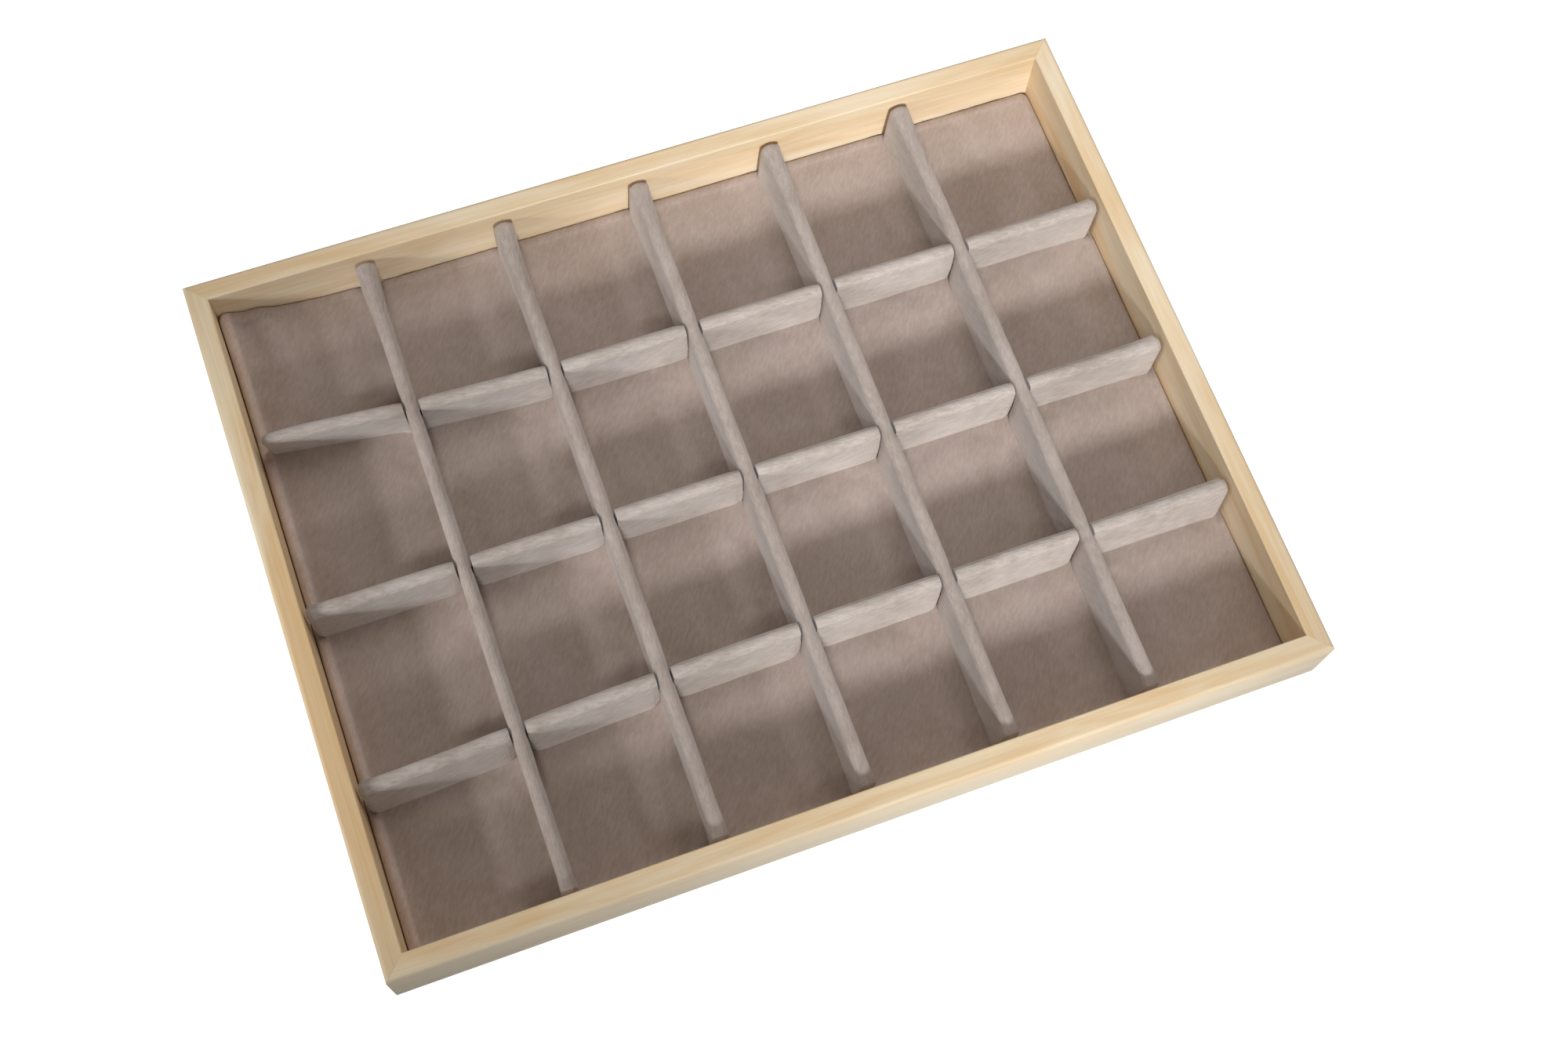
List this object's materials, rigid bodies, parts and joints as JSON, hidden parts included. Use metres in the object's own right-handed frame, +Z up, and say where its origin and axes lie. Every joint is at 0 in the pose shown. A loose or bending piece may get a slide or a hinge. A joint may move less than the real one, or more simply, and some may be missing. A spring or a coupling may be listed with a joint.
{
  "type": "jewelry display tray",
  "caption": "Shallow open pine tray with a velvet pad and a lift-out grid of slotted velvet dividers that make small compartments.",
  "frame": {"origin": "middle of the face that the tray stands on, which is the underside of the rails", "axes": "+X along the tray's length to the right, +Y to the back rail, +Z up"},
  "size_m": [0.35, 0.27, 0.03],
  "materials": {
    "pine": "pale planed pine, straight grain along each rail, matte sealed",
    "plywood": "thin pale plywood, sanded",
    "grey_board": "pressed grey pulp board, raw",
    "foam": "thin soft foam sheet",
    "pad_velvet": "grey-brown short-pile velvet over a soft pad",
    "divider_velvet": "grey-brown short-pile velvet glued round a card",
    "brad_steel": "bright drawn wire"
  },
  "bodies": {
    "tray": {"back_rail": "pine", "front_rail": "pine", "left_rail": "pine", "right_rail": "pine", "base_panel": "plywood", "corner_brads": "brad_steel"},
    "pad": {"pad_card": "grey_board", "pad_foam": "foam", "pad_velvet": "pad_velvet"},
    "long_dividers": {"long_divider_1_core": "grey_board", "long_divider_1_velvet": "divider_velvet", "long_divider_2_core": "grey_board", "long_divider_2_velvet": "divider_velvet", "long_divider_3_core": "grey_board", "long_divider_3_velvet": "divider_velvet"},
    "cross_divider_1": {"cross_divider_1_core": "grey_board", "cross_divider_1_velvet": "divider_velvet"},
    "cross_divider_2": {"cross_divider_2_core": "grey_board", "cross_divider_2_velvet": "divider_velvet"},
    "cross_divider_3": {"cross_divider_3_core": "grey_board", "cross_divider_3_velvet": "divider_velvet"},
    "cross_divider_4": {"cross_divider_4_core": "grey_board", "cross_divider_4_velvet": "divider_velvet"},
    "cross_divider_5": {"cross_divider_5_core": "grey_board", "cross_divider_5_velvet": "divider_velvet"}
  },
  "joints": [
    {"name": "pad_lift", "type": "slide", "parent": "tray", "child": "pad", "axis": [0, 0, 1], "range_m": [0, 0.035]},
    {"name": "long_dividers_lift", "type": "slide", "parent": "pad", "child": "long_dividers", "axis": [0, 0, 1], "range_m": [0, 0.03]},
    {"name": "cross_divider_1_lift", "type": "slide", "parent": "long_dividers", "child": "cross_divider_1", "axis": [0, 0, 1], "range_m": [0, 0.03]},
    {"name": "cross_divider_2_lift", "type": "slide", "parent": "long_dividers", "child": "cross_divider_2", "axis": [0, 0, 1], "range_m": [0, 0.03]},
    {"name": "cross_divider_3_lift", "type": "slide", "parent": "long_dividers", "child": "cross_divider_3", "axis": [0, 0, 1], "range_m": [0, 0.03]},
    {"name": "cross_divider_4_lift", "type": "slide", "parent": "long_dividers", "child": "cross_divider_4", "axis": [0, 0, 1], "range_m": [0, 0.03]},
    {"name": "cross_divider_5_lift", "type": "slide", "parent": "long_dividers", "child": "cross_divider_5", "axis": [0, 0, 1], "range_m": [0, 0.03]}
  ]
}
